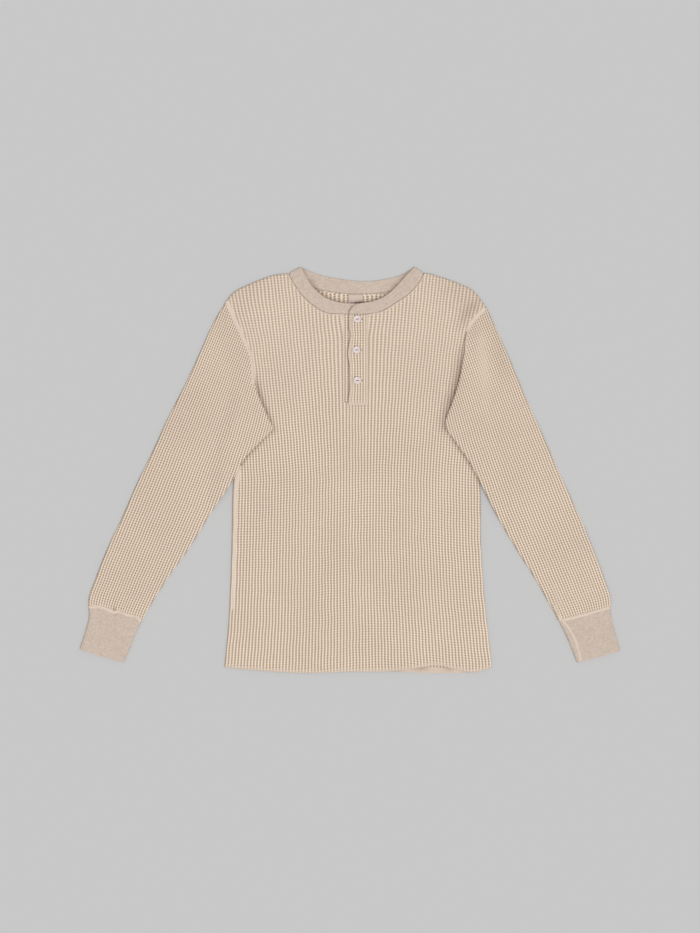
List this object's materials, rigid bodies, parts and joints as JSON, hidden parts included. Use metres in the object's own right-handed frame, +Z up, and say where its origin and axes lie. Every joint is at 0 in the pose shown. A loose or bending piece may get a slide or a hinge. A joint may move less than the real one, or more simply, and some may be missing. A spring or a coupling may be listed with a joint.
{
  "type": "henley shirt",
  "caption": "Long-sleeved henley shirt in ribbed waffle knit, laid flat face up with its sleeves swung down, a band collar and a buttoned half placket.",
  "frame": {"origin": "on the surface the shirt lies on, under the middle of its outline", "axes": "+X towards the viewer's right across the shirt from cuff to cuff, +Y from hem to neck, +Z up from the surface to the front of the shirt"},
  "size_m": [0.9188, 0.6904, 0.0135],
  "materials": {
    "waffle_knit": "matte ribbed waffle knit",
    "plain_knit": "matte fine jersey",
    "button": "pearl gloss",
    "label_tape": "satin tape"
  },
  "bodies": {
    "root": {"back": "waffle_knit", "front": "waffle_knit", "sleeve_left": "waffle_knit", "sleeve_right": "waffle_knit", "cuff_left": "plain_knit", "cuff_right": "plain_knit", "collar": "plain_knit", "placket_under": "plain_knit", "placket_over": "waffle_knit", "button_1": "button", "button_2": "button", "button_3": "button", "label": "label_tape"}
  },
  "joints": []
}
